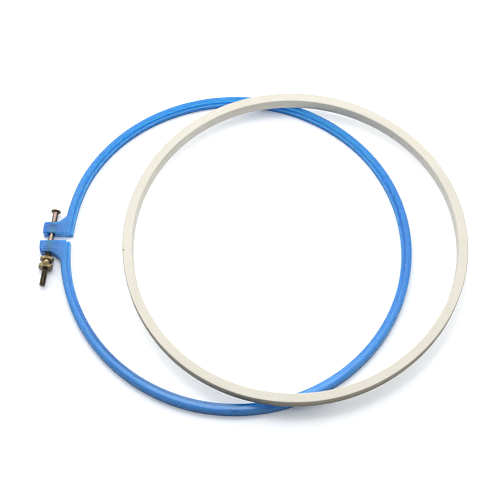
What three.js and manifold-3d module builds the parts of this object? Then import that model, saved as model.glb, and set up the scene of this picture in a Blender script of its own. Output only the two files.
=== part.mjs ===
// Round plastic embroidery hoop, taken apart: a split outer ring with two clamp
// lugs, a closed inner ring lying flat on it, and a clamp screw with a thumb nut.
// Millimetres, +Z up, standing on z = 0.
import * as THREE from 'three';
import { mergeVertices } from 'three/addons/utils/BufferGeometryUtils.js';
import Module from 'manifold-3d';

const wasm = await Module();
wasm.setup();

// ---------------------------------------------------------------- dimensions
const RING_X = -11.8;            // centre of the outer ring in the part's frame

// outer ring section (radius, height)
const OUTER_R = 127.0;           // outside of the outer ring
const RECESS_R = 122.8;          // upper bore that takes the inner ring
const LEDGE_R = 120.2;           // bore of the ledge under it
const OUTER_H = 8.4;             // height of the outer ring
const LEDGE_Z = 5.4;             // top of the ledge
const CROWN = 2.0;               // round between the top and the outside
const SOFT = 1.0;                // round at the lower edges
const EDGE = 0.5;                // small round at the bore's edges

// the split and the lugs (y is measured from the ring's centre)
const GAP_HI = 11.5;             // face of the upper lug at the split
const GAP_LO = 5.8;              // face of the lower lug at the split
const UPPER_BACK = 20.65;        // far face of the upper lug
const LOWER_BACK = -3.7;         // near face of the lower lug
const UPPER_END = -139.6;        // outer ends of the lugs
const LOWER_END = -141.6;
const UPPER_TUCK = 1.8;          // how far each free end springs inwards
const LOWER_TUCK = 0.9;
const HINGE_DEG = -3.7;          // where the two arms meet, opposite the split
const BUTT_GAP = 0.3;            // clearance between the arms there

// inner ring
const INNER_C = [42.15, -0.85];  // centre, from the outer ring's centre
const INNER_R = 123.1;           // outside of its rib
const INNER_WALL_R = 122.3;      // outside below the rib
const INNER_BORE_R = 116.2;
const INNER_H = 9.2;
const RIB_Z = 6.2;               // underside of the rib
const INNER_EDGE = 0.8;
const REST_GAP = 0.3;            // clearance under the inner ring

// clamp screw and nut
const AXIS_Z = 5.15;             // height of the screw's axis
const SCREW_A = [-131.3, 29.5];  // under the head
const SCREW_B = [-138.35, -29.5]; // tip
const THREAD_R = 2.0;
const SHANK_R = 1.75;
const SHANK_LEN = 24.0;          // plain length under the head
const HEAD_R = 3.3;
const HEAD_H = 1.5;
const SLOT_W = 1.0;
const SLOT_D = 0.7;
const HOLE_R = 2.6;              // holes in the lugs
const NUT_AT = 36.7;             // distance of the nut's face from under the head
const NUT_R = 5.05;
const NUT_COLLAR_R = 4.75;
const NUT_WAIST_R = 3.5;
const NUT_COLLAR = 2.6;
const NUT_WAIST = 2.7;
const NUT_GRIP = 3.5;
const NUT_BORE_R = 2.3;

// ------------------------------------------------------------------- helpers
const rad = (d) => (d * Math.PI) / 180;

function solid(geometry) {
  const g = geometry.clone();
  for (const name of Object.keys(g.attributes)) if (name !== 'position') g.deleteAttribute(name);
  const m = mergeVertices(g, 1e-4);
  return new wasm.Manifold(new wasm.Mesh({
    numProp: 3,
    vertProperties: new Float32Array(m.attributes.position.array),
    triVerts: new Uint32Array(m.index.array),
  }));
}

function geometryOf(manifold) {
  const m = manifold.getMesh();
  const g = new THREE.BufferGeometry();
  g.setAttribute('position', new THREE.BufferAttribute(new Float32Array(m.vertProperties), 3));
  g.setIndex(new THREE.BufferAttribute(new Uint32Array(m.triVerts), 1));
  g.computeVertexNormals();
  return g;
}

const round = (cx, cz, r, a0, a1, n) => Array.from({ length: n + 1 }, (_, i) => {
  const a = rad(a0 + ((a1 - a0) * i) / n);
  return [cx + r * Math.cos(a), cz + r * Math.sin(a)];
});

// a closed ring profile, turned about +Z
function turned(profile, segments) {
  const pts = profile.map(([r, z]) => new THREE.Vector2(r, z));
  const g = new THREE.LatheGeometry(pts, segments);
  g.rotateX(Math.PI / 2);
  return g;
}

function box(x0, x1, y0, y1, z0, z1) {
  const g = new THREE.BoxGeometry(x1 - x0, y1 - y0, z1 - z0);
  g.translate((x0 + x1) / 2, (y0 + y1) / 2, (z0 + z1) / 2);
  return solid(g);
}

// ---------------------------------------------------------------- outer ring
const MID_R = (OUTER_R + LEDGE_R) / 2;

// section of the ring, counter-clockwise in (radius, height)
const SECTION = [
  ...round(LEDGE_R + SOFT, SOFT, SOFT, 180, 270, 2),
  ...round(OUTER_R - SOFT, SOFT, SOFT, 270, 360, 2),
  ...round(OUTER_R - CROWN, OUTER_H - CROWN, CROWN, 0, 90, 5),
  ...round(RECESS_R + EDGE, OUTER_H - EDGE, EDGE, 90, 180, 1),
  [RECESS_R, LEDGE_Z],
  ...round(LEDGE_R + EDGE, LEDGE_Z - EDGE, EDGE, 90, 180, 1),
];

const smooth = (t) => { const u = Math.min(1, Math.max(0, t)); return u * u * (3 - 2 * u); };

// the ring's centre line: a circle whose free ends spring inwards at the split
class ArmPath extends THREE.Curve {
  constructor(from, to, tuck, tuckFrom, tuckTo) {
    super();
    Object.assign(this, { from, to, tuck, tuckFrom, tuckTo });
  }
  getPoint(t, target = new THREE.Vector3()) {
    const deg = this.from + (this.to - this.from) * t;
    const r = MID_R - this.tuck * smooth((deg - this.tuckFrom) / (this.tuckTo - this.tuckFrom));
    return target.set(r * Math.cos(rad(deg)), r * Math.sin(rad(deg)), 0);
  }
  getPointAt(t, target) { return this.getPoint(t, target); }
  getTangentAt(t, target = new THREE.Vector3()) {
    const d = 1e-4;
    const a = this.getPoint(Math.max(0, t - d)), b = this.getPoint(Math.min(1, t + d));
    return target.subVectors(b, a).normalize();
  }
}

// extrusion along the path: the shape's x runs down and its y runs inwards
function arm(path, steps) {
  const shape = new THREE.Shape(SECTION.map(([r, z]) => new THREE.Vector2(-z, MID_R - r)));
  return solid(new THREE.ExtrudeGeometry(shape, { steps, extrudePath: path }));
}

function slab(shape, h) {
  return solid(new THREE.ExtrudeGeometry(shape, { depth: h, bevelEnabled: false, curveSegments: 6 }));
}

// the screw's line
const A = new THREE.Vector3(SCREW_A[0], SCREW_A[1], AXIS_Z);
const B = new THREE.Vector3(SCREW_B[0], SCREW_B[1], AXIS_Z);
const SCREW_LEN = A.distanceTo(B);
const DIR = B.clone().sub(A).normalize();
const TURN = new THREE.Quaternion().setFromUnitVectors(new THREE.Vector3(0, 0, 1), DIR);

function alongScrew(geometry) {
  geometry.applyQuaternion(TURN);
  geometry.translate(A.x, A.y, A.z);
  return geometry;
}

const drill = solid(alongScrew(turned([[0, -20], [HOLE_R, -20], [HOLE_R, 60], [0, 60]], 20)));

// arm with the upper lug
const halfButt = (BUTT_GAP / 2 / MID_R) * (180 / Math.PI);
const upperLug = new THREE.Shape();
upperLug.moveTo(-122.6, GAP_HI);
upperLug.lineTo(-121.2, 25.6);
upperLug.lineTo(-122.9, 25.5);
upperLug.quadraticCurveTo(-126.9, 21.3, -129.2, UPPER_BACK);
upperLug.lineTo(UPPER_END + 2.2, UPPER_BACK);
upperLug.quadraticCurveTo(UPPER_END + 0.7, UPPER_BACK, UPPER_END + 0.4, UPPER_BACK - 1.85);
upperLug.lineTo(UPPER_END + 0.1, UPPER_BACK - 4.25);
upperLug.lineTo(UPPER_END, GAP_HI + 0.8);
upperLug.quadraticCurveTo(UPPER_END, GAP_HI, UPPER_END + 0.8, GAP_HI);
upperLug.closePath();
const upperArm = arm(new ArmPath(HINGE_DEG + halfButt, 177.0, UPPER_TUCK, 148, 175), 62)
  .add(slab(upperLug, OUTER_H))
  .subtract(box(-150, -100, -20, GAP_HI, -1, 12))
  .subtract(drill);

// arm with the lower lug
const lowerLug = new THREE.Shape();
lowerLug.moveTo(-123.4, GAP_LO);
lowerLug.lineTo(LOWER_END + 0.8, GAP_LO);
lowerLug.quadraticCurveTo(LOWER_END + 0.2, GAP_LO, LOWER_END + 0.15, GAP_LO - 0.8);
lowerLug.lineTo(LOWER_END, 1.0);
lowerLug.lineTo(LOWER_END + 0.4, LOWER_BACK + 1.6);
lowerLug.quadraticCurveTo(LOWER_END + 0.6, LOWER_BACK, LOWER_END + 2.2, LOWER_BACK);
lowerLug.lineTo(-134.7, LOWER_BACK);
lowerLug.quadraticCurveTo(-129.4, LOWER_BACK, -124.7, -11.6);
lowerLug.lineTo(-122.6, -10.4);
lowerLug.closePath();
const lowerArm = arm(new ArmPath(175.0, 360 + HINGE_DEG - halfButt, LOWER_TUCK, 246, 206), 62)
  .add(slab(lowerLug, OUTER_H))
  .subtract(box(-150, -100, GAP_LO, 30, -1, 12))
  .subtract(drill);

// ---------------------------------------------------------------- inner ring
const innerProfile = [
  ...round(INNER_BORE_R + INNER_EDGE, INNER_EDGE, INNER_EDGE, 180, 270, 2),
  ...round(INNER_WALL_R - INNER_EDGE, INNER_EDGE, INNER_EDGE, 270, 360, 2),
  [INNER_WALL_R, RIB_Z - (INNER_R - INNER_WALL_R)],
  [INNER_R, RIB_Z],
  ...round(INNER_R - INNER_EDGE, INNER_H - INNER_EDGE, INNER_EDGE, 0, 90, 2),
  ...round(INNER_BORE_R + INNER_EDGE, INNER_H - INNER_EDGE, INNER_EDGE, 90, 180, 2),
];
innerProfile.push(innerProfile[0]);
const innerRing = turned(innerProfile, 120);
innerRing.translate(INNER_C[0], INNER_C[1], OUTER_H + REST_GAP);

// --------------------------------------------------------------------- screw
const screwProfile = [
  [0, -HEAD_H], [1.6, -HEAD_H + 0.04], [2.5, -HEAD_H + 0.18], [3.05, -HEAD_H + 0.42], [HEAD_R, -0.75],
  [HEAD_R, -0.15], [HEAD_R - 0.15, 0], [SHANK_R, 0], [SHANK_R, SHANK_LEN], [THREAD_R, SHANK_LEN + 0.5],
  [THREAD_R, SCREW_LEN - 0.6], [THREAD_R - 0.6, SCREW_LEN], [0, SCREW_LEN],
];
const slot = solid((() => {
  const g = new THREE.BoxGeometry(SLOT_W, 2.4 * HEAD_R, 2 * SLOT_D);
  g.rotateZ(rad(25));
  g.translate(0, 0, -HEAD_H);
  return g;
})());
const screwSolid = solid(turned(screwProfile, 24)).subtract(slot);
const screw = alongScrew(geometryOf(screwSolid));

// ----------------------------------------------------------------------- nut
const N1 = NUT_COLLAR, N2 = N1 + NUT_WAIST, N3 = N2 + NUT_GRIP;
const nutProfile = [
  [NUT_BORE_R, 0], [NUT_COLLAR_R - 0.5, 0], [NUT_COLLAR_R, 0.5], [NUT_COLLAR_R, N1 - 0.5], [NUT_COLLAR_R - 0.4, N1],
  [NUT_WAIST_R, N1 + 0.3], [NUT_WAIST_R, N2 - 0.4], [NUT_R - 0.5, N2], [NUT_R, N2 + 0.5],
  [NUT_R, N3 - 0.6], [NUT_R - 0.6, N3], [NUT_BORE_R, N3],
];
nutProfile.push(nutProfile[0]);
const nut = turned(nutProfile, 32);
nut.translate(0, 0, NUT_AT);
alongScrew(nut);

// ------------------------------------------------------------------ assembly
const bluePlastic = () => new THREE.MeshStandardMaterial({ color: 0x3f8be0, roughness: 0.32, metalness: 0.0 });
const creamPlastic = () => new THREE.MeshStandardMaterial({ color: 0xeeeadd, roughness: 0.5, metalness: 0.0 });
const brass = () => new THREE.MeshStandardMaterial({ color: 0xb39a62, roughness: 0.34, metalness: 1.0 });
const darkBrass = () => new THREE.MeshStandardMaterial({ color: 0x7d6c52, roughness: 0.4, metalness: 1.0 });

const hoop = new THREE.Group();
hoop.position.x = RING_X;

function piece(name, geometry, material) {
  const mesh = new THREE.Mesh(geometry, material);
  mesh.name = name;
  hoop.add(mesh);
  return mesh;
}

piece('outer_ring_lower_arm', geometryOf(lowerArm), bluePlastic());
piece('outer_ring_upper_arm', geometryOf(upperArm), bluePlastic());
piece('inner_ring', innerRing, creamPlastic());
piece('clamp_screw', screw, darkBrass());
piece('thumb_nut', nut, brass());

export default hoop;
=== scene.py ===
"""Looks of a round plastic embroidery hoop: a translucent blue split outer ring with clamp lugs, a cream inner ring lying on it,
and a brass clamp screw with a knurled thumb nut. Lengths in the shape code are millimetres from the outer ring's centre."""

import math

import bmesh
import bpy
import numpy as np
from mathutils import Matrix, Vector


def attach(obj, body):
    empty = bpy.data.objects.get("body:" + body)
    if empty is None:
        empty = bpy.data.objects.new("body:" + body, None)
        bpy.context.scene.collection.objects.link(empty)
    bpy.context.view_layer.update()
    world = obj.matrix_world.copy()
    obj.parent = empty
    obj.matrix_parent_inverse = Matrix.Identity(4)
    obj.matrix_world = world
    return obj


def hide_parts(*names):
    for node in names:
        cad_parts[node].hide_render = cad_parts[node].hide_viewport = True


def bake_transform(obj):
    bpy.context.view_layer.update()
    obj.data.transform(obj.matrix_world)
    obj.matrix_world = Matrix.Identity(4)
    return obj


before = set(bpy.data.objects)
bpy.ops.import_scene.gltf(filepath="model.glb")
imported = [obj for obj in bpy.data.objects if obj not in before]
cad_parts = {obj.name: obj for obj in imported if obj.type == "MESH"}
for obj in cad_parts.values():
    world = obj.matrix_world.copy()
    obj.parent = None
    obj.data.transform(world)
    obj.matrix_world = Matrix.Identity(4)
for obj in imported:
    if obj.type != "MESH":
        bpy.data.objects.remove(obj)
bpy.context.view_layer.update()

# ------------------------------------------------------------------ dimensions
RING_X = -11.8
OUTER_R, RECESS_R, LEDGE_R = 127.0, 122.8, 120.2
OUTER_H, LEDGE_Z = 8.4, 5.4
CROWN, FOOT, SOFT, EDGE, COVE = 2.0, 0.35, 0.35, 0.5, 0.35
GAP_HI, GAP_LO = 11.5, 5.8
UPPER_BACK, LOWER_BACK = 20.65, -3.7
UPPER_END, LOWER_END = -139.6, -141.6
UPPER_TUCK, LOWER_TUCK = 1.8, 0.9
HINGE_DEG = -3.7
MID_R = (OUTER_R + LEDGE_R) / 2

INNER_C = (42.15, -0.85)
INNER_R, INNER_WALL_R, INNER_BORE_R = 123.1, 122.85, 116.2
INNER_H, RIB_Z, INNER_EDGE, REST_Z = 9.2, 6.2, 0.8, 8.7
INNER_FOOT, INNER_DRAFT = 0.35, 0.45

AXIS_Z = 5.15
SCREW_A, SCREW_B = np.array([-131.3, 29.5, AXIS_Z]), np.array([-138.35, -29.5, AXIS_Z])
SCREW_LEN = float(np.linalg.norm(SCREW_B - SCREW_A))
DIR = (SCREW_B - SCREW_A) / SCREW_LEN
THREAD_R, SHANK_R, SHANK_LEN, PITCH = 2.2, 1.95, 24.0, 0.7
HEAD_R, HEAD_H, SLOT_W, SLOT_D = 3.6, 1.5, 1.0, 0.7
HOLE_R = 2.6
NUT_AT, NUT_R, NUT_COLLAR_R, NUT_WAIST_R = 37.1, 5.05, 5.0, 3.6
NUT_COLLAR, NUT_WAIST, NUT_GRIP, NUT_BORE_R = 2.6, 2.9, 3.5, 2.5


# --------------------------------------------------------------------- helpers
def to_row(points):
    """Millimetres from the outer ring's centre to metres in the part's frame."""
    p = np.asarray(points, float).reshape(-1, 3)
    return (p + [RING_X, 0, 0]) / 1000


def make_object(name, points, faces, smooth=True):
    mesh = bpy.data.meshes.new(name)
    mesh.from_pydata(to_row(points).tolist(), [], [list(map(int, f)) for f in faces])
    mesh.update()
    return link_object(name, mesh, smooth)


def link_object(name, mesh, smooth=True):
    mesh.polygons.foreach_set("use_smooth", [smooth] * len(mesh.polygons))
    o = bpy.data.objects.new(name, mesh)
    bpy.context.scene.collection.objects.link(o)
    return o


def arc(cx, cz, r, a0, a1, n):
    a = np.radians(np.linspace(a0, a1, n + 1))
    return np.stack([cx + r * np.cos(a), cz + r * np.sin(a)], 1)


def quad_curve(p0, p1, p2, n):
    t = np.linspace(0, 1, n + 1)[:, None]
    return (1 - t) ** 2 * np.array(p0) + 2 * t * (1 - t) * np.array(p1) + t**2 * np.array(p2)


def with_support(loop, longest=0.9, inset=0.18):
    """A closed outline with extra points near the ends of its long straight runs, which keeps them flat under smooth shading."""
    out = []
    for a, b in zip(loop, np.roll(loop, -1, 0)):
        out.append(a)
        length = np.linalg.norm(b - a)
        if length > longest:
            out += [a + (b - a) * inset / length, b - (b - a) * inset / length]
    return np.array(out)


def smoothstep(t):
    t = np.clip(t, 0, 1)
    return t * t * (3 - 2 * t)


def around_ring(knots):
    """A smooth periodic curve through (degrees, millimetres) pairs: how far a moulding stands off its true circle."""
    deg = np.array([k[0] for k in knots], float)
    mm = np.array([k[1] for k in knots], float)
    table = np.interp(np.arange(720) * 0.5, deg, mm, period=360)
    kernel = np.exp(-0.5 * (np.arange(-40, 41) / 9.0) ** 2)
    table = np.convolve(np.concatenate([table[-40:], table, table[:40]]), kernel / kernel.sum(), "valid")

    def at(angle):
        x = np.asarray(angle, float) % 360.0 / 0.5
        i = np.floor(x).astype(int) % 720
        return table[i] + (table[(i + 1) % 720] - table[i]) * (x - np.floor(x))

    return at


def polygon_distance(points, loop):
    """Signed distance of 2D points to a closed outline, negative inside."""
    x, y = points[:, 0], points[:, 1]
    best = np.full(len(x), 1e18)
    inside = np.zeros(len(x), bool)
    for (ax, ay), (bx, by) in zip(loop, np.roll(loop, -1, 0)):
        ex, ey = bx - ax, by - ay
        wx, wy = x - ax, y - ay
        t = np.clip((wx * ex + wy * ey) / (ex * ex + ey * ey + 1e-18), 0, 1)
        dx, dy = wx - ex * t, wy - ey * t
        best = np.minimum(best, dx * dx + dy * dy)
        crosses = (ay > y) != (by > y)
        if ey != 0:
            inside ^= crosses & (x < ax + ex * (y - ay) / ey)
    return np.sqrt(best) * np.where(inside, -1, 1)


def soft_min(a, b, k):
    h = np.maximum(k - np.abs(a - b), 0) / k
    return np.minimum(a, b) - h * h * k / 4


def soft_max(a, b, k):
    return -soft_min(-a, -b, k)


def surface_nets(values, origin, step):
    """Quads around the zero level of a grid of values, negative inside."""
    s = values < 0
    nx, ny, nz = values.shape
    count = np.zeros((nx - 1, ny - 1, nz - 1), int)
    for dx in (0, 1):
        for dy in (0, 1):
            for dz in (0, 1):
                count += s[dx : nx - 1 + dx, dy : ny - 1 + dy, dz : nz - 1 + dz]
    active = (count > 0) & (count < 8)
    index = np.full(active.shape, -1)
    index[active] = np.arange(active.sum())
    i, j, k = np.nonzero(active)
    place, weight = np.zeros((len(i), 3)), np.zeros(len(i))
    corners = [(a, b, c) for a in (0, 1) for b in (0, 1) for c in (0, 1)]
    for a in corners:
        for axis in range(3):
            if a[axis]:
                continue
            b = tuple(v + (n == axis) for n, v in enumerate(a))
            va = values[i + a[0], j + a[1], k + a[2]]
            vb = values[i + b[0], j + b[1], k + b[2]]
            m = (va < 0) != (vb < 0)
            t = np.where(m, va / np.where(m, va - vb, 1), 0)
            p = np.array(a, float) + t[:, None] * (np.array(b, float) - np.array(a, float))
            place[m] += p[m]
            weight[m] += 1
    points = np.array(origin) + step * (place / weight[:, None] + np.stack([i, j, k], 1))
    quads = []
    for axis in range(3):
        u, v = (axis + 1) % 3, (axis + 2) % 3
        lo = [slice(1, -1)] * 3
        hi = [slice(1, -1)] * 3
        lo[axis], hi[axis] = slice(0, -1), slice(1, None)
        crossing = s[tuple(lo)] != s[tuple(hi)]
        at = np.stack(np.nonzero(crossing), 1)
        at[:, u] += 1
        at[:, v] += 1
        out = s[tuple(at.T)]
        ring = []
        for du, dv in ((-1, -1), (0, -1), (0, 0), (-1, 0)):
            c = at.copy()
            c[:, u] += du
            c[:, v] += dv
            ring.append(index[tuple(c.T)])
        q = np.stack(ring, 1)
        q[~out] = q[~out][:, ::-1]
        quads.append(q)
    return points, np.concatenate(quads)


def sweep_grid(rings, close_along=False):
    """Quads between successive closed outlines with the same number of points."""
    n, m = len(rings), len(rings[0])
    faces = []
    for a in range(n if close_along else n - 1):
        b = (a + 1) % n
        for c in range(m):
            d = (c + 1) % m
            faces.append((a * m + c, a * m + d, b * m + d, b * m + c))
    return np.concatenate(rings), faces


# -------------------------------------------------------------- outer ring mesh
def ring_section():
    """The outer ring's section as (radius, height), anticlockwise, with rounded edges and a small cove behind the ledge."""
    return np.concatenate([
        arc(LEDGE_R + SOFT, SOFT, SOFT, 180, 270, 6),
        arc(OUTER_R - FOOT, FOOT, FOOT, 270, 360, 4),
        arc(OUTER_R - CROWN, OUTER_H - CROWN, CROWN, 0, 90, 14),
        arc(RECESS_R + EDGE, OUTER_H - EDGE, EDGE, 100, 180, 5),
        arc(RECESS_R - COVE, LEDGE_Z + COVE, COVE, 0, -90, 4),
        arc(LEDGE_R + EDGE, LEDGE_Z - EDGE, EDGE, 90, 180, 5),
    ])


SECTION = ring_section()

# The free ring is not quite round and its wall is not quite even: offsets of its outside and of its bore by angle.
OUTSIDE_OFF = around_ring([
    (0, 0.08), (12, 0.0), (24, -0.1), (36, -0.4), (42, -0.78), (54, -1.1), (75, -1.05), (92, -0.95), (104, -0.68), (116, -0.25),
    (122, 0.0), (128, 0.13), (140, 0.38), (146, 0.38), (152, 0.32), (164, 0.3), (176, 0.35), (190, 0.3), (202, 0.34), (214, 0.24),
    (226, -0.08), (235, -0.3), (244, -0.1), (250, 0.1), (270, 0.15), (306, 0.15), (324, -0.1), (342, -0.05),
])
BORE_OFF = around_ring([
    (0, -0.2), (12, 0), (24, 0.15), (36, 0.35), (42, 0.3), (54, -0.1), (75, -0.1), (92, 0.15), (104, 0.4), (116, 0.65), (122, 0.9),
    (128, 1.2), (140, 1.3), (146, 1.2), (152, 0.92), (158, 0.72), (164, 0.6), (176, 0.4), (190, 0.28), (202, 0.05), (214, -0.12),
    (226, -0.55), (238, -0.9), (247, -1.0), (256, -0.8), (270, -0.6), (306, -0.35), (324, -0.3), (342, -0.2),
])
INNER_OFF = around_ring([
    (0, 1.0), (12, 0.95), (24, 0.8), (36, 0.35), (48, -0.25), (60, -0.5), (72, -0.4), (84, -0.3), (96, -0.1), (108, 0.15), (132, 0.2),
    (144, 0), (156, -0.25), (168, -0.35), (180, -0.3), (192, 0), (204, 0.2), (216, 0.35), (228, 0.6), (240, 0.55), (252, 0.35),
    (264, -0.05), (276, -0.1), (288, -0.4), (300, -0.6), (312, -0.5), (324, 0), (336, 0.5), (348, 0.95),
])


def tuck_at(deg):
    """How far the ring's free ends spring inwards, by angle from 0 to 360."""
    upper = UPPER_TUCK * smoothstep((deg - 148) / (175 - 148))
    lower = LOWER_TUCK * smoothstep((deg - 246) / (206 - 246))
    return np.where(deg < 177, upper, lower)


UPPER_LUG = np.concatenate([
    [(-121.05, GAP_HI), (-118.9, 25.6), (-121.6, 27.4)],
    quad_curve((-122.9, 25.5), (-126.9, 21.3), (-129.2, UPPER_BACK), 14),
    quad_curve((UPPER_END + 2.2, UPPER_BACK), (UPPER_END + 0.7, UPPER_BACK), (UPPER_END + 0.4, UPPER_BACK - 1.85), 8),
    [(UPPER_END + 0.1, UPPER_BACK - 4.25)],
    quad_curve((UPPER_END, GAP_HI + 0.9), (UPPER_END, GAP_HI), (UPPER_END + 0.9, GAP_HI), 6),
])
LOWER_LUG = np.concatenate([
    [(-122.36, GAP_LO)],
    quad_curve((LOWER_END + 0.9, GAP_LO), (LOWER_END + 0.2, GAP_LO), (LOWER_END + 0.15, GAP_LO - 0.9), 6),
    [(LOWER_END, 1.0)],
    quad_curve((LOWER_END + 0.4, LOWER_BACK + 1.6), (LOWER_END + 0.6, LOWER_BACK), (LOWER_END + 2.2, LOWER_BACK), 8),
    quad_curve((-134.7, LOWER_BACK), (-129.4, LOWER_BACK), (-124.7, -11.6), 16),
    [(-123.4, -13.6), (-121.6, -10.4)],
])


def slab_distance(p, plan, r):
    q1 = polygon_distance(p[:, :2], plan) + r
    q2 = np.abs(p[:, 2] - OUTER_H / 2) - OUTER_H / 2 + r
    return np.minimum(np.maximum(q1, q2), 0) + np.hypot(np.maximum(q1, 0), np.maximum(q2, 0)) - r


def lugs_distance(p):
    """Signed distance of the outer ring around the split: both ring ends, both lugs and the screw's holes."""
    deg = np.degrees(np.arctan2(p[:, 1], p[:, 0])) % 360
    flat = np.hypot(p[:, 0], p[:, 1])
    rel = p - SCREW_A
    along = rel @ DIR
    hole = np.linalg.norm(rel - along[:, None] * DIR, axis=1) - HOLE_R
    best = np.full(len(p), 1e9)
    for side, plan, face, tuck in ((1, UPPER_LUG, GAP_HI, UPPER_TUCK), (-1, LOWER_LUG, GAP_LO, LOWER_TUCK)):
        amount = (
            UPPER_TUCK * smoothstep((deg - 148) / (175 - 148)) if side > 0 else LOWER_TUCK * smoothstep((deg - 246) / (206 - 246))
        )
        bore, widen = BORE_OFF(deg), (OUTSIDE_OFF(deg) - BORE_OFF(deg)) / (OUTER_R - LEDGE_R)
        true_r = (flat + amount - bore + widen * LEDGE_R) / (1 + widen)
        arm = polygon_distance(np.stack([true_r, p[:, 2]], 1), SECTION)
        arm = soft_max(arm, side * (face - p[:, 1]), 0.7)
        both = soft_min(arm, slab_distance(p, plan, 0.9), 0.3)
        both = np.maximum(both, np.abs(p[:, 2] - OUTER_H / 2) - OUTER_H / 2)
        best = np.minimum(best, soft_max(both, -hole, 0.45))
    return best


CUT_UP, CUT_LO = 166.0, 187.9  # angles where the swept ring meets the lug pieces


def lug_mesh(step=0.27):
    lo, hi = np.array([-143.0, -19.5, -0.6]), np.array([-113.5, 33.0, 9.0])
    n = np.ceil((hi - lo) / step).astype(int) + 1
    axes = [lo[a] + step * np.arange(n[a]) for a in range(3)]
    grid = np.stack(np.meshgrid(*axes, indexing="ij"), -1).reshape(-1, 3)
    values = np.concatenate([lugs_distance(g) for g in np.array_split(grid, 24)])
    points, quads = surface_nets(values.reshape(n), lo, step)
    for _ in range(3):
        f, d = lugs_distance(points), 0.02
        g = np.stack([
            lugs_distance(points + d * np.eye(3)[a]) - lugs_distance(points - d * np.eye(3)[a]) for a in range(3)
        ], 1) / (2 * d)
        move = f[:, None] * g / np.maximum((g * g).sum(1), 0.2)[:, None]
        points = points - np.clip(move, -0.2, 0.2)
    return points, quads


def ring_station(deg, loop):
    share = (loop[:, 0] - LEDGE_R) / (OUTER_R - LEDGE_R)
    r = loop[:, 0] - tuck_at(np.array(deg % 360.0)) + OUTSIDE_OFF(deg) * share + BORE_OFF(deg) * (1 - share)
    a = math.radians(deg)
    return np.stack([r * math.cos(a), r * math.sin(a), loop[:, 1]], 1)


def outline_place(points, loop):
    """Distance along a closed outline of the point on it nearest to each given 2D point."""
    ends = np.roll(loop, -1, 0)
    length = np.linalg.norm(ends - loop, axis=1)
    start = np.concatenate([[0], np.cumsum(length)[:-1]])
    d = (ends - loop) / length[:, None]
    t = np.clip(((points[:, None] - loop) * d).sum(2), 0, length)
    best = np.argmin(np.linalg.norm(loop + d * t[..., None] - points[:, None], axis=2), 1)
    return start[best] + t[np.arange(len(points)), best], start, float(length.sum())


def walk_rim(edges):
    """The vertices of one closed run of edges, in order."""
    following = {}
    for e in edges:
        for a, b in ((e.verts[0], e.verts[1]), (e.verts[1], e.verts[0])):
            following.setdefault(a, []).append(b)
    first = edges[0].verts[0]
    walk, before, now = [first], None, first
    while True:
        after = following[now][0] if following[now][0] is not before else following[now][1]
        if after is first:
            return walk
        walk.append(after)
        before, now = now, after


def zip_to_ring(bm, row, loop, rim):
    """Faces between one end of the swept ring and the rim of the lug piece, matched by their place on the section."""
    xyz = np.array([v.co for v in rim])
    deg = np.degrees(np.arctan2(xyz[:, 1], xyz[:, 0])) % 360
    widen = (OUTSIDE_OFF(deg) - BORE_OFF(deg)) / (OUTER_R - LEDGE_R)
    true_r = (np.hypot(xyz[:, 0], xyz[:, 1]) + tuck_at(deg) - BORE_OFF(deg) + widen * LEDGE_R) / (1 + widen)
    place, start, total = outline_place(np.stack([true_r, xyz[:, 2]], 1), loop)
    if np.sum((np.roll(place, -1) - place) > 0) < len(rim) / 2:
        rim, place = rim[::-1], place[::-1]
    k = int(np.argmin(place))
    rim, place = rim[k:] + rim[:k], np.maximum.accumulate(np.roll(place, -k))
    n, m, i, j = len(row), len(rim), 0, 0
    while i < n or j < m:
        next_i = start[i + 1] if i + 1 < n else total + start[0]
        next_j = place[j + 1] if j + 1 < m else total + place[0]
        if j == m or (i < n and next_i <= next_j):
            bm.faces.new((row[i % n], row[(i + 1) % n], rim[j % m]))
            i += 1
        else:
            bm.faces.new((row[i % n], rim[(j + 1) % m], rim[j % m]))
            j += 1


def build_outer_ring():
    bm = bmesh.new()
    points, quads = lug_mesh()
    vs = [bm.verts.new(p) for p in points]
    for q in quads:
        bm.faces.new([vs[i] for i in q])
    for deg, keep in ((CUT_UP, 1), (CUT_LO, -1)):
        a = math.radians(deg)
        bmesh.ops.bisect_plane(
            bm, geom=bm.verts[:] + bm.edges[:] + bm.faces[:], dist=1e-5, plane_co=(0, 0, 0),
            plane_no=(keep * math.sin(a), -keep * math.cos(a), 0), clear_outer=True,
        )
    loops = [[], []]
    for e in bm.edges:
        if e.is_boundary:
            loops[0 if e.verts[0].co.y > 0 else 1].append(e)
    loop = with_support(SECTION)
    degrees = np.linspace(CUT_UP - 0.2, CUT_LO - 360 + 0.2, 440)
    stations = [ring_station(d, loop) for d in degrees]
    rows = [[bm.verts.new(p) for p in s] for s in stations]
    for a, b in zip(rows, rows[1:]):
        for i in range(len(loop)):
            j = (i + 1) % len(loop)
            bm.faces.new((a[i], a[j], b[j], b[i]))
    for row, boundary in ((rows[0], loops[0]), (rows[-1], loops[1])):
        zip_to_ring(bm, row, loop, walk_rim(boundary))
    bmesh.ops.recalc_face_normals(bm, faces=bm.faces[:])
    for v in bm.verts:
        v.co = Vector(((v.co.x + RING_X) / 1000, v.co.y / 1000, v.co.z / 1000))
    mesh = bpy.data.meshes.new("outer_ring")
    bm.to_mesh(mesh)
    bm.free()
    return link_object("outer_ring", mesh)


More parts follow.
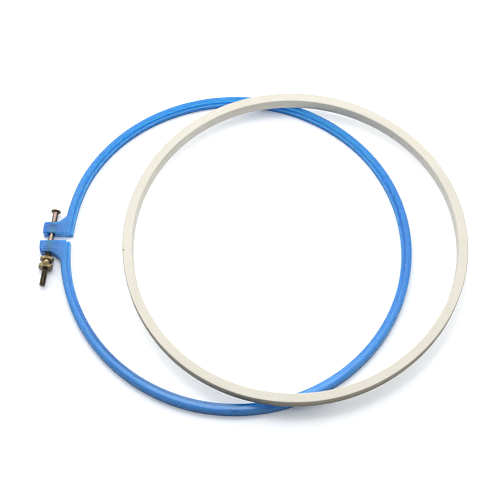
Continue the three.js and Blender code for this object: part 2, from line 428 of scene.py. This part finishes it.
# -------------------------------------------------------------- inner ring mesh
def build_inner_ring():
    loop = with_support(np.concatenate([
        arc(INNER_BORE_R - INNER_DRAFT + INNER_FOOT, INNER_FOOT, INNER_FOOT, 180, 270, 6),
        arc(INNER_WALL_R - INNER_FOOT, INNER_FOOT, INNER_FOOT, 270, 360, 6),
        [(INNER_WALL_R, RIB_Z - 0.95), (INNER_WALL_R + 0.08, RIB_Z - 0.8), (INNER_R - 0.08, RIB_Z - 0.1), (INNER_R, RIB_Z + 0.05)],
        arc(INNER_R - INNER_EDGE, INNER_H - INNER_EDGE, INNER_EDGE, 0, 90, 8),
        arc(INNER_BORE_R + INNER_EDGE, INNER_H - INNER_EDGE, INNER_EDGE, 90, 180, 8),
    ]))
    rings = []
    for deg in np.arange(0, 360, 0.75):
        a = math.radians(deg)
        r = loop[:, 0] + INNER_OFF(deg)
        rings.append(np.stack([INNER_C[0] + r * math.cos(a), INNER_C[1] + r * math.sin(a), REST_Z + loop[:, 1]], 1))
    points, faces = sweep_grid(rings, close_along=True)
    return make_object("inner_ring_shell", points, [f[::-1] for f in faces])


# --------------------------------------------------------------- screw and nut
SIDE = np.cross(DIR, [0, 0, 1.0])
SIDE /= np.linalg.norm(SIDE)
RISE = np.cross(SIDE, DIR)


def along_screw(local):
    """(x, y, distance from under the head) to millimetres: x is sideways and y upwards."""
    p = np.asarray(local, float)
    return SCREW_A + p[:, :1] * SIDE + p[:, 1:2] * RISE + p[:, 2:] * DIR


def lathe_grid(stations, around, radius):
    """Closed outlines across the screw's axis; radius(z, angles) gives each outline."""
    angles = np.linspace(0, 2 * math.pi, around, endpoint=False)
    rings = []
    for i, z in enumerate(stations):
        r = radius(i, z, angles)
        rings.append(np.stack([r * np.cos(angles), r * np.sin(angles), np.full(around, z)], 1))
    return rings


def cap(faces, start, around, flip):
    ring = list(range(start, start + around))
    faces.append(ring[::-1] if flip else ring)


def build_screw():
    around = 40
    stations, radii = [], []
    head = [(-HEAD_H, 1.3), (-HEAD_H + 0.03, 1.85), (-HEAD_H + 0.1, 2.4), (-HEAD_H + 0.2, 2.84), (-HEAD_H + 0.34, 3.16),
            (-HEAD_H + 0.55, 3.44), (-0.72, HEAD_R - 0.03), (-0.6, HEAD_R), (-0.25, HEAD_R), (-0.1, HEAD_R - 0.06), (-0.02, HEAD_R - 0.2),
            (0.0, HEAD_R - 0.35), (0.0, SHANK_R + 0.3), (0.08, SHANK_R + 0.1), (0.25, SHANK_R), (0.5, SHANK_R)]
    for z, r in head:
        stations.append(z)
        radii.append(r)
    for z in np.linspace(1.5, SHANK_LEN - 0.6, 14):
        stations.append(z)
        radii.append(SHANK_R)
    thread_from = len(stations)
    end = SCREW_LEN - 0.02
    zs = np.arange(SHANK_LEN - 0.4, end, PITCH / 8)
    stations += list(zs) + [end]
    radii += [None] * (len(zs) + 1)
    minor = THREAD_R - 0.42

    def radius(i, z, angles):
        if i < thread_from:
            return np.full(len(angles), radii[i])
        phase = (z / PITCH - angles / (2 * math.pi)) % 1.0
        crest = np.clip(1.35 * (1 - np.abs(2 * phase - 1)) - 0.12, 0, 1)
        start = smoothstep((z - SHANK_LEN + 0.4) / 1.6)
        r = minor + (THREAD_R - minor) * crest
        r = SHANK_R + (r - SHANK_R) * start
        return np.minimum(r, THREAD_R - 0.75 * max(0.0, (z - (SCREW_LEN - 0.75)) / 0.75))

    rings = lathe_grid(stations, around, radius)
    points, faces = sweep_grid(rings)
    faces = [list(f) for f in faces]
    cap(faces, 0, around, True)
    cap(faces, len(points) - around, around, False)
    o = make_object("clamp_screw_turned", along_screw(points), faces)
    fix_normals(o)
    return o, thread_from * 1.0


def fix_normals(o):
    bm = bmesh.new()
    bm.from_mesh(o.data)
    bmesh.ops.recalc_face_normals(bm, faces=bm.faces[:])
    bm.to_mesh(o.data)
    bm.free()


def cut_slot(o):
    """The driver slot across the screw's head."""
    w, l, d = SLOT_W / 2, HEAD_R * 1.3, SLOT_D
    a = math.radians(25)
    c, s = math.cos(a), math.sin(a)
    corners = []
    for z in (-HEAD_H - 0.5, -HEAD_H + d):
        for x, y in ((-w, -l), (w, -l), (w, l), (-w, l)):
            corners.append((x * c - y * s, x * s + y * c, z))
    faces = [(0, 1, 2, 3), (4, 5, 6, 7), (0, 1, 5, 4), (1, 2, 6, 5), (2, 3, 7, 6), (3, 0, 4, 7)]
    tool = make_object("slot_tool", along_screw(np.array(corners)), faces, False)
    fix_normals(tool)
    m = o.modifiers.new("slot", "BOOLEAN")
    m.operation, m.solver, m.object = "DIFFERENCE", "EXACT", tool
    apply_modifiers(o)
    bpy.data.objects.remove(tool)


def apply_modifiers(o):
    dg = bpy.context.evaluated_depsgraph_get()
    mesh = bpy.data.meshes.new_from_object(o.evaluated_get(dg))
    o.modifiers.clear()
    old = o.data
    o.data = mesh
    bpy.data.meshes.remove(old)


def build_nut():
    """A turned spool nut with straight knurling on both rims and a groove in the grip."""
    around, teeth = 216, 36
    n1, n2 = NUT_COLLAR, NUT_COLLAR + NUT_WAIST
    n3 = n2 + NUT_GRIP
    cr, gr, wr, br = NUT_COLLAR_R, NUT_R, NUT_WAIST_R, NUT_BORE_R
    # (distance along, radius, share of knurl depth)
    profile = [
        (0.25, br - 0.25, 0), (0.0, br, 0), (0.0, cr - 0.75, 0), (0.06, cr - 0.5, 0), (0.28, cr - 0.18, 0.2), (0.45, cr, 1), (0.6, cr, 1),
        (n1 - 0.6, cr, 1), (n1 - 0.42, cr, 1), (n1 - 0.2, cr - 0.16, 0.3), (n1 - 0.05, cr - 0.45, 0), (n1, cr - 0.65, 0), (n1 + 0.03, wr + 0.25, 0),
        (n1 + 0.14, wr + 0.06, 0), (n1 + 0.35, wr, 0), (n2 - 0.45, wr, 0), (n2 - 0.2, wr + 0.08, 0), (n2 - 0.06, wr + 0.3, 0),
        (n2, wr + 0.55, 0), (n2 + 0.08, gr - 0.55, 0), (n2 + 0.25, gr - 0.22, 0.3), (n2 + 0.45, gr, 1), (n2 + 0.6, gr, 1),
        (n3 - 0.75, gr, 1), (n3 - 0.55, gr, 1), (n3 - 0.25, gr - 0.24, 0.3), (n3 - 0.06, gr - 0.6, 0), (n3, gr - 0.85, 0),
        (n3, br + 0.35, 0), (n3 - 0.12, br + 0.08, 0), (n3 - 0.35, br - 0.2, 0),
    ]
    angles = np.linspace(0, 2 * math.pi, around, endpoint=False)
    phase = (angles * teeth / (2 * math.pi)) % 1.0
    tooth = np.clip(1.6 * np.abs(2 * phase - 1) - 0.3, 0, 1)
    rings = []
    for z, r, share in profile:
        rr = r - 0.26 * share * (1 - tooth)
        rings.append(np.stack([rr * np.cos(angles), rr * np.sin(angles), np.full(around, z + NUT_AT)], 1))
    points, faces = sweep_grid(rings, close_along=True)
    o = make_object("thumb_nut_turned", along_screw(points), faces)
    fix_normals(o)
    return o


# ------------------------------------------------------------------- materials
def material(name):
    m = bpy.data.materials.new(name)
    m.use_nodes = True
    nt = m.node_tree
    nt.nodes.clear()
    out = nt.nodes.new("ShaderNodeOutputMaterial")
    b = nt.nodes.new("ShaderNodeBsdfPrincipled")
    nt.links.new(b.outputs["BSDF"], out.inputs["Surface"])
    return m, nt, b


def noise(nt, scale, detail=3.0, rough=0.5, stretch=None, coord=None):
    if coord is None:
        coord = nt.nodes.new("ShaderNodeTexCoord").outputs["Object"]
    if stretch is not None:
        mp = nt.nodes.new("ShaderNodeMapping")
        mp.inputs["Scale"].default_value = stretch
        nt.links.new(coord, mp.inputs["Vector"])
        coord = mp.outputs["Vector"]
    n = nt.nodes.new("ShaderNodeTexNoise")
    n.inputs["Scale"].default_value = scale
    n.inputs["Detail"].default_value = detail
    n.inputs["Roughness"].default_value = rough
    nt.links.new(coord, n.inputs["Vector"])
    return n.outputs["Fac"]


def spread(nt, value, a, b, lo=0.3, hi=0.7):
    r = nt.nodes.new("ShaderNodeMapRange")
    for k, v in (("From Min", lo), ("From Max", hi), ("To Min", a), ("To Max", b)):
        r.inputs[k].default_value = v
    nt.links.new(value, r.inputs["Value"])
    return r.outputs["Result"]


def mix(nt, fac, a, b):
    m = nt.nodes.new("ShaderNodeMix")
    m.data_type = "RGBA"
    nt.links.new(fac, m.inputs["Factor"])
    for sock, v in (("A", a), ("B", b)):
        s = next(i for i in m.inputs if i.name == sock and i.type == "RGBA")
        if isinstance(v, tuple):
            s.default_value = (*v, 1.0)
        else:
            nt.links.new(v, s)
    return next(o for o in m.outputs if o.type == "RGBA")


def bump(nt, height, strength, distance, normal=None):
    b = nt.nodes.new("ShaderNodeBump")
    b.inputs["Strength"].default_value = strength
    b.inputs["Distance"].default_value = distance
    nt.links.new(height, b.inputs["Height"])
    if normal is not None:
        nt.links.new(normal, b.inputs["Normal"])
    return b.outputs["Normal"]


def ring_coord(nt, centre, across, along):
    """Coordinates that follow a ring: scaled across its section and stretched along its length."""
    node = nt.nodes.new
    place = nt.nodes.new("ShaderNodeTexCoord").outputs["Object"]
    shift = node("ShaderNodeVectorMath")
    shift.operation = "SUBTRACT"
    shift.inputs[1].default_value = (centre[0], centre[1], 0.0)
    nt.links.new(place, shift.inputs[0])
    split = node("ShaderNodeSeparateXYZ")
    nt.links.new(shift.outputs[0], split.inputs[0])
    flat = node("ShaderNodeCombineXYZ")
    nt.links.new(split.outputs["X"], flat.inputs["X"])
    nt.links.new(split.outputs["Y"], flat.inputs["Y"])
    radius = node("ShaderNodeVectorMath")
    radius.operation = "LENGTH"
    nt.links.new(flat.outputs[0], radius.inputs[0])
    angle = node("ShaderNodeMath")
    angle.operation = "ARCTAN2"
    nt.links.new(split.outputs["Y"], angle.inputs[0])
    nt.links.new(split.outputs["X"], angle.inputs[1])
    joined = node("ShaderNodeCombineXYZ")
    nt.links.new(radius.outputs["Value"], joined.inputs["X"])
    nt.links.new(angle.outputs[0], joined.inputs["Y"])
    nt.links.new(split.outputs["Z"], joined.inputs["Z"])
    scaled = node("ShaderNodeVectorMath")
    scaled.operation = "MULTIPLY"
    scaled.inputs[1].default_value = (across, along, across)
    nt.links.new(joined.outputs[0], scaled.inputs[0])
    return scaled.outputs[0]


def facing_out(nt, centre):
    """How far a face looks away from a ring's centre: 1 on its outside wall, 0 on its top, -1 in its bore."""
    tc = nt.nodes.new("ShaderNodeTexCoord")
    shift = nt.nodes.new("ShaderNodeVectorMath")
    shift.operation = "SUBTRACT"
    shift.inputs[1].default_value = (centre[0], centre[1], 0.0)
    nt.links.new(tc.outputs["Object"], shift.inputs[0])
    split = nt.nodes.new("ShaderNodeSeparateXYZ")
    nt.links.new(shift.outputs[0], split.inputs[0])
    flat = nt.nodes.new("ShaderNodeCombineXYZ")
    nt.links.new(split.outputs["X"], flat.inputs["X"])
    nt.links.new(split.outputs["Y"], flat.inputs["Y"])
    unit = nt.nodes.new("ShaderNodeVectorMath")
    unit.operation = "NORMALIZE"
    nt.links.new(flat.outputs[0], unit.inputs[0])
    dot = nt.nodes.new("ShaderNodeVectorMath")
    dot.operation = "DOT_PRODUCT"
    nt.links.new(unit.outputs[0], dot.inputs[0])
    nt.links.new(tc.outputs["Normal"], dot.inputs[1])
    return dot.outputs["Value"]


def near_point(nt, place):
    """Distance in metres from a place given in millimetres from the outer ring's centre."""
    d = nt.nodes.new("ShaderNodeVectorMath")
    d.operation = "DISTANCE"
    d.inputs[1].default_value = tuple(to_row(place)[0])
    nt.links.new(nt.nodes.new("ShaderNodeTexCoord").outputs["Object"], d.inputs[0])
    return d.outputs["Value"]


def ring_radius(nt, centre):
    """Distance in metres from a ring's axis."""
    shift = nt.nodes.new("ShaderNodeVectorMath")
    shift.operation = "SUBTRACT"
    shift.inputs[1].default_value = (centre[0], centre[1], 0.0)
    nt.links.new(nt.nodes.new("ShaderNodeTexCoord").outputs["Object"], shift.inputs[0])
    flat = nt.nodes.new("ShaderNodeVectorMath")
    flat.operation = "MULTIPLY"
    flat.inputs[1].default_value = (1.0, 1.0, 0.0)
    nt.links.new(shift.outputs[0], flat.inputs[0])
    length = nt.nodes.new("ShaderNodeVectorMath")
    length.operation = "LENGTH"
    nt.links.new(flat.outputs[0], length.inputs[0])
    return length.outputs["Value"]


def times(nt, a, b):
    m = nt.nodes.new("ShaderNodeMath")
    m.operation = "MULTIPLY"
    nt.links.new(a, m.inputs[0])
    nt.links.new(b, m.inputs[1])
    return m.outputs[0]


def blue_plastic():
    m, nt, b = material("blue_plastic_look")
    clouds = spread(nt, noise(nt, 60, 4), 0, 1)
    flow = spread(nt, noise(nt, 1.0, 4, 0.55, coord=ring_coord(nt, (RING_X / 1000, 0), 900, 22)), 0, 1, 0.36, 0.68)
    base = mix(nt, clouds, (0.043, 0.208, 0.540), (0.049, 0.220, 0.560))
    base = mix(nt, flow, base, (0.056, 0.238, 0.580))
    split = nt.nodes.new("ShaderNodeSeparateXYZ")
    nt.links.new(nt.nodes.new("ShaderNodeTexCoord").outputs["Object"], split.inputs[0])
    height = split.outputs["Z"]
    out = facing_out(nt, (RING_X / 1000, 0))
    upright = nt.nodes.new("ShaderNodeMath")
    upright.operation = "ABSOLUTE"
    nt.links.new(out, upright.inputs[0])
    # the recess, the ledge and the bore are painted paler: painted light, standing in for the light that comes through
    # the thin wall from outside
    inward = spread(nt, out, 1, 0, -0.95, -0.40)
    base = mix(nt, times(nt, inward, spread(nt, height, 1, 0, 0.0072, 0.0080)), base, (0.140, 0.500, 0.950))
    base = mix(nt, times(nt, inward, spread(nt, height, 1, 0, 0.0046, 0.0052)), base, (0.058, 0.252, 0.790))
    ledge = times(nt, spread(nt, height, 1, 0, 0.0056, 0.0062), spread(nt, height, 0, 1, 0.0044, 0.0050))
    base = mix(nt, times(nt, ledge, spread(nt, upright.outputs[0], 1, 0, 0.30, 0.70)), base, (0.046, 0.245, 0.660))
    # on the near side the ledge and the top's inner edge are painted darker: painted shade
    near = times(nt, spread(nt, split.outputs["Y"], 1, 0, -0.085, -0.035), spread(nt, split.outputs["X"], 1, 0.2, 0.0, 0.035))
    near_ledge_shade = times(nt, near, spread(nt, height, 1, 0, 0.0056, 0.0062))
    base = mix(nt, times(nt, near_ledge_shade, spread(nt, out, 1, 0, 0.20, 0.45)), base, (0.032, 0.125, 0.320))
    # painted shade: a dark line along the ledge's inner edge on the near side
    rim = times(nt, spread(nt, split.outputs["Y"], 1, 0, -0.060, 0.0), spread(nt, height, 1, 0, 0.0053, 0.0056))
    rim = times(nt, rim, spread(nt, ring_radius(nt, (RING_X / 1000, 0)), 1, 0, 0.1204, 0.1212))
    base = mix(nt, times(nt, rim, spread(nt, out, 1, 0, 0.20, 0.45)), base, (0.030, 0.118, 0.300))
    # painted shade: a dark line along the top's inner edge on the near side
    near_top_edge_shade = times(nt, spread(nt, height, 0, 1, 0.0076, 0.0080), spread(nt, out, 1, 0, -0.70, -0.15))
    base = mix(nt, times(nt, near, near_top_edge_shade), base, (0.036, 0.158, 0.430))
    # the top's outer round is painted greyer, a painted sheen; on the far side it is painted darker still, painted
    # shade
    crown = times(nt, spread(nt, height, 0, 1, 0.0062, 0.0070), spread(nt, out, 0, 1, 0.25, 0.70))
    base = mix(nt, crown, base, (0.085, 0.228, 0.440))
    base = mix(nt, times(nt, crown, spread(nt, split.outputs["Y"], 0, 1, 0.0, 0.05)), base, (0.100, 0.205, 0.280))
    # the outside wall is painted deeper in colour and duller: painted shade
    outside_wall_shade = times(nt, spread(nt, out, 0, 1, 0.45, 0.95), spread(nt, height, 1, 0.3, 0.0062, 0.0072))
    base = mix(nt, outside_wall_shade, base, (0.064, 0.196, 0.455))
    # opposite the lugs the ring is painted a little deeper in colour: painted shade
    opposite = times(nt, spread(nt, split.outputs["X"], 0, 0.5, 0.088, 0.106), spread(nt, split.outputs["Y"], 0, 1, -0.055, -0.025))
    base = mix(nt, opposite, base, (0.024, 0.165, 0.470))
    # the upper lug's front face is painted paler: painted light, standing in for the light that comes through the lug
    facing = nt.nodes.new("ShaderNodeSeparateXYZ")
    nt.links.new(nt.nodes.new("ShaderNodeTexCoord").outputs["Normal"], facing.inputs[0])
    front = times(nt, spread(nt, split.outputs["X"], 1, 0, -0.1360, -0.1300), spread(nt, facing.outputs["Y"], 1, 0, -0.95, -0.50))
    front = times(nt, front, spread(nt, split.outputs["Y"], 0, 1, 0.0060, 0.0100))
    base = mix(nt, front, base, (0.160, 0.470, 0.930))
    # flow marks of the moulding on the lugs: wavy darker streaks along them
    on_lugs = spread(nt, split.outputs["X"], 1, 0, -0.1440, -0.1360)
    streaks = spread(nt, noise(nt, 1.0, 3, 0.6, stretch=(70, 380, 300)), 0, 1, 0.47, 0.60)
    base = mix(nt, times(nt, on_lugs, streaks), base, (0.028, 0.132, 0.420))
    # the mould's gate mark on the near side: a dark uneven ring around a pale middle
    away = near_point(nt, (-2.2, -124.4, 8.2))
    mark = times(nt, spread(nt, away, 0, 1, 0.0005, 0.0012), spread(nt, away, 1, 0, 0.0022, 0.0046))
    mark = times(nt, mark, spread(nt, noise(nt, 1100, 3, 0.6), 0.0, 0.8, 0.42, 0.58))
    nt.links.new(mix(nt, mark, base, (0.022, 0.105, 0.330)), b.inputs["Base Color"])
    nt.links.new(spread(nt, noise(nt, 160, 5, 0.6), 0.19, 0.30), b.inputs["Roughness"])
    b.inputs["Subsurface Weight"].default_value = 1.0
    b.inputs["Subsurface Radius"].default_value = (0.3, 0.7, 1.0)
    # the lugs are thicker than the ring, so less light comes through them
    nt.links.new(spread(nt, split.outputs["X"], 0.009, 0.018, -0.1440, -0.1340), b.inputs["Subsurface Scale"])
    b.inputs["IOR"].default_value = 1.49
    nt.links.new(spread(nt, upright.outputs[0], 0.27, 0.02, 0.45, 0.90), b.inputs["Specular IOR Level"])
    nt.links.new(bump(nt, noise(nt, 1500, 2), 0.03, 0.0001), b.inputs["Normal"])
    return m


def cream_plastic():
    m, nt, b = material("cream_plastic_look")
    centre = ((INNER_C[0] + RING_X) / 1000, INNER_C[1] / 1000)
    clouds = spread(nt, noise(nt, 30, 4), 0, 1)
    base = mix(nt, clouds, (0.680, 0.650, 0.560), (0.710, 0.684, 0.600))
    base = mix(nt, spread(nt, noise(nt, 700, 3, 0.6), 0, 0.4, 0.45, 0.75), base, (0.63, 0.585, 0.485))
    # the outside wall is painted darker and browner, with a mottle, and darker still below the rib: painted shade
    wall_shade_mottle = noise(nt, 1.0, 4, 0.6, coord=ring_coord(nt, centre, 700, 30))
    dark = mix(nt, spread(nt, wall_shade_mottle, 0, 1), (0.300, 0.268, 0.200), (0.360, 0.326, 0.255))
    split = nt.nodes.new("ShaderNodeSeparateXYZ")
    nt.links.new(nt.nodes.new("ShaderNodeTexCoord").outputs["Object"], split.inputs[0])
    # painted shade: the wall below the rib is darker still
    under_rib = spread(nt, split.outputs["Z"], 1, 0, (REST_Z + RIB_Z - 1.4) / 1000, (REST_Z + RIB_Z - 0.2) / 1000)
    dark = mix(nt, under_rib, dark, (0.265, 0.232, 0.168))
    base = mix(nt, spread(nt, facing_out(nt, centre), 0, 1, 0.45, 0.92), base, dark)
    # one small dark speck in the moulding
    speck = spread(nt, near_point(nt, (-79.7, -7.7, INNER_H + REST_Z)), 1, 0, 0.0003, 0.0008)
    nt.links.new(mix(nt, speck, base, (0.13, 0.09, 0.05)), b.inputs["Base Color"])
    nt.links.new(spread(nt, noise(nt, 220, 4, 0.6), 0.42, 0.58), b.inputs["Roughness"])
    b.inputs["Subsurface Weight"].default_value = 0.05
    b.inputs["Subsurface Radius"].default_value = (1.0, 0.8, 0.5)
    b.inputs["Subsurface Scale"].default_value = 0.001
    b.inputs["IOR"].default_value = 1.5
    b.inputs["Specular IOR Level"].default_value = 0.3
    nt.links.new(bump(nt, noise(nt, 1900, 3, 0.6), 0.18, 0.0002), b.inputs["Normal"])
    return m


def metal(name, light, dark, tarnish, rough, painted_flank_reflection=None):
    """A turned metal; given a flank colour, its flanks left and right of the screw's axis are painted darker than its
    top: a painted dark reflection.
    """
    m, nt, b = material(name)
    patches = spread(nt, noise(nt, 260, 5, 0.62), 0, 1, 0.38, 0.66)
    grain = spread(nt, noise(nt, 2400, 3, 0.6), 0, 0.5)
    base = mix(nt, patches, light, dark)
    # painted dark reflection: the flanks are mixed towards the flank colour
    if painted_flank_reflection is not None:
        dot = nt.nodes.new("ShaderNodeVectorMath")
        dot.operation = "DOT_PRODUCT"
        dot.inputs[1].default_value = tuple(SIDE)
        nt.links.new(nt.nodes.new("ShaderNodeTexCoord").outputs["Normal"], dot.inputs[0])
        flank = nt.nodes.new("ShaderNodeMath")
        flank.operation = "ABSOLUTE"
        nt.links.new(dot.outputs["Value"], flank.inputs[0])
        base = mix(nt, spread(nt, flank.outputs[0], 0, 1, 0.40, 0.85), base, painted_flank_reflection)
    nt.links.new(mix(nt, grain, base, tarnish), b.inputs["Base Color"])
    b.inputs["Metallic"].default_value = 1.0
    nt.links.new(spread(nt, noise(nt, 900, 4, 0.6), rough[0], rough[1]), b.inputs["Roughness"])
    nt.links.new(bump(nt, noise(nt, 3200, 3, 0.6), 0.15, 0.0001), b.inputs["Normal"])
    return m


BLUE, CREAM = blue_plastic(), cream_plastic()
# the last colour of brass and of the shank is a painted dark reflection on their flanks
BRASS = metal("brass_look", (0.33, 0.262, 0.145), (0.15, 0.116, 0.061), (0.05, 0.040, 0.025), (0.20, 0.38), (0.11, 0.085, 0.045))
SHANK = metal("bright_shank_look", (0.36, 0.272, 0.236), (0.23, 0.168, 0.140), (0.12, 0.090, 0.074), (0.24, 0.40), (0.10, 0.072, 0.052))
THREADED = metal("thread_look", (0.22, 0.185, 0.13), (0.13, 0.11, 0.08), (0.07, 0.06, 0.045), (0.30, 0.48))
HEAD = metal("screw_head_look", (0.20, 0.168, 0.085), (0.105, 0.088, 0.046), (0.05, 0.042, 0.026), (0.24, 0.42))

# ---------------------------------------------------------------------- pieces
ring = build_outer_ring()
ring.data.materials.append(BLUE)
hinge = np.array([MID_R * math.cos(math.radians(HINGE_DEG)), MID_R * math.sin(math.radians(HINGE_DEG)), 4.2])
towards_gap = np.array([-130.0, (GAP_HI + GAP_LO) / 2, 4.2]) - hinge
across = np.array([-towards_gap[1], towards_gap[0], 0])
across = -across / np.linalg.norm(across)
if across[1] < 0:
    across = -across
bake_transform(ring)
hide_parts("outer_ring_lower_arm", "outer_ring_upper_arm")

inner = build_inner_ring()
fix_normals(inner)
inner.data.materials.append(CREAM)
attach(inner, "inner_ring")
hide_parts("inner_ring")

screw, _ = build_screw()
cut_slot(screw)
for m in (SHANK, THREADED, HEAD):
    screw.data.materials.append(m)
axis_a, axis_d = Vector(to_row(SCREW_A)[0]), Vector(DIR)
for p in screw.data.polygons:
    z = (p.center - axis_a).dot(axis_d) * 1000
    p.material_index = 2 if z < 0.12 else (0 if z < SHANK_LEN + 0.3 else 1)
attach(screw, "screw")
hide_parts("clamp_screw")

nut = build_nut()
nut.data.materials.append(BRASS)
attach(nut, "nut")
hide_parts("thumb_nut")


def sharp_edges(o, degrees):
    """Edges steeper than this stay crisp under smooth shading."""
    bm = bmesh.new()
    bm.from_mesh(o.data)
    for e in bm.edges:
        e.smooth = len(e.link_faces) == 2 and e.calc_face_angle(0.0) < math.radians(degrees)
    bm.to_mesh(o.data)
    bm.free()


for o in (screw, nut):
    sharp_edges(o, 38)

# ----------------------------------------------------------- floor, light, camera
floor_mesh = bpy.data.meshes.new("floor")
floor_mesh.from_pydata([(-4, -4, 0.0004), (4, -4, 0.0004), (4, 4, 0.0004), (-4, 4, 0.0004)], [], [(0, 1, 2, 3)])
floor = bpy.data.objects.new("floor", floor_mesh)
bpy.context.scene.collection.objects.link(floor)
fm, fnt, fb = material("pale_floor")
fnt.links.new(mix(fnt, spread(fnt, noise(fnt, 3, 2), 0, 1), (0.972, 0.972, 0.972), (0.980, 0.980, 0.980)), fb.inputs["Base Color"])
fb.inputs["Roughness"].default_value = 0.9
fb.inputs["Specular IOR Level"].default_value = 0.1
fb.inputs["Emission Color"].default_value = (0.68, 0.82, 1.0, 1.0)  # a faint cool glow that keeps the shadows soft and clear
fb.inputs["Emission Strength"].default_value = 0.150
floor_mesh.materials.append(fm)


def area_light(name, place, target, wide, high, watts, colour=(1, 1, 1)):
    data = bpy.data.lights.new(name, "AREA")
    data.shape, data.size, data.size_y, data.energy, data.color = "RECTANGLE", wide, high, watts, colour
    o = bpy.data.objects.new(name, data)
    bpy.context.scene.collection.objects.link(o)
    o.location = place
    o.rotation_mode = "QUATERNION"
    o.rotation_quaternion = (Vector(target) - Vector(place)).to_track_quat("-Z", "Y")
    return o


# Softboxes overhead, with a smaller lamp among them, behind at both sides, low behind, left and right; nothing bright in front.
area_light("overhead", (0.0, 0.15, 1.25), (0.0, 0.15, 0.0), 1.03, 1.03, 7.5)
area_light("lamp", (-0.02, 0.37, 1.25), (-0.02, 0.0, 0.0), 0.28, 0.26, 2.8)
area_light("back_left", (-0.780, 0.780, 0.862), (0, 0, 0.01), 0.95, 1.30, 10.0)
area_light("back_right", (0.758, 0.758, 0.900), (0, 0, 0.01), 0.85, 1.30, 6.9)
area_light("left", (-1.060, -0.093, 0.900), (0, 0, 0.01), 0.85, 0.75, 2.8)
area_light("right", (1.258, 0.0, 0.614), (0, 0, 0.01), 0.95, 0.57, 3.4)
area_light("back", (0.0, 1.34, 0.68), (0, 0, 0.01), 0.95, 0.57, 2.5)

world = bpy.data.worlds.new("studio")
bpy.context.scene.world = world
world.use_nodes = True
world.node_tree.nodes["Background"].inputs["Color"].default_value = (1.0, 1.0, 1.0, 1.0)
world.node_tree.nodes["Background"].inputs["Strength"].default_value = 0.02

ELEVATION, ROLL, DISTANCE = math.radians(64.2), math.radians(-0.55), 1.050
aim = Vector((-0.00137, 0.0, 0.0))
fwd = Vector((0, math.cos(ELEVATION), -math.sin(ELEVATION)))
x_axis = Vector((1, 0, 0))
up0 = x_axis.cross(fwd)
right = math.cos(ROLL) * x_axis + math.sin(ROLL) * up0
up = -math.sin(ROLL) * x_axis + math.cos(ROLL) * up0
cam_data = bpy.data.cameras.new("camera")
cam_data.sensor_width, cam_data.lens = 36.0, 36.0 * 1446 / 500
cam_data.clip_start, cam_data.clip_end = 0.05, 50
camera = bpy.data.objects.new("camera", cam_data)
bpy.context.scene.collection.objects.link(camera)
rot = Matrix((right, up, -fwd)).transposed().to_4x4()
camera.matrix_world = Matrix.Translation(aim - fwd * DISTANCE) @ rot
bpy.context.scene.camera = camera

bpy.context.scene.view_settings.view_transform = "Standard"
bpy.context.scene.view_settings.look = "None"

# A little sharpening of the finished picture, as a camera does it.
bpy.context.scene.use_nodes = True
ct = bpy.context.scene.node_tree
ct.nodes.clear()
layers, encode = ct.nodes.new("CompositorNodeRLayers"), ct.nodes.new("CompositorNodeGamma")
sharpen, decode = ct.nodes.new("CompositorNodeFilter"), ct.nodes.new("CompositorNodeGamma")
final = ct.nodes.new("CompositorNodeComposite")
encode.inputs["Gamma"].default_value, decode.inputs["Gamma"].default_value = 1 / 2.2, 2.2
sharpen.filter_type = "SHARPEN"
sharpen.inputs["Fac"].default_value = 0.04
ct.links.new(layers.outputs["Image"], encode.inputs["Image"])
ct.links.new(encode.outputs["Image"], sharpen.inputs["Image"])
ct.links.new(sharpen.outputs["Image"], decode.inputs["Image"])
ct.links.new(decode.outputs["Image"], final.inputs["Image"])
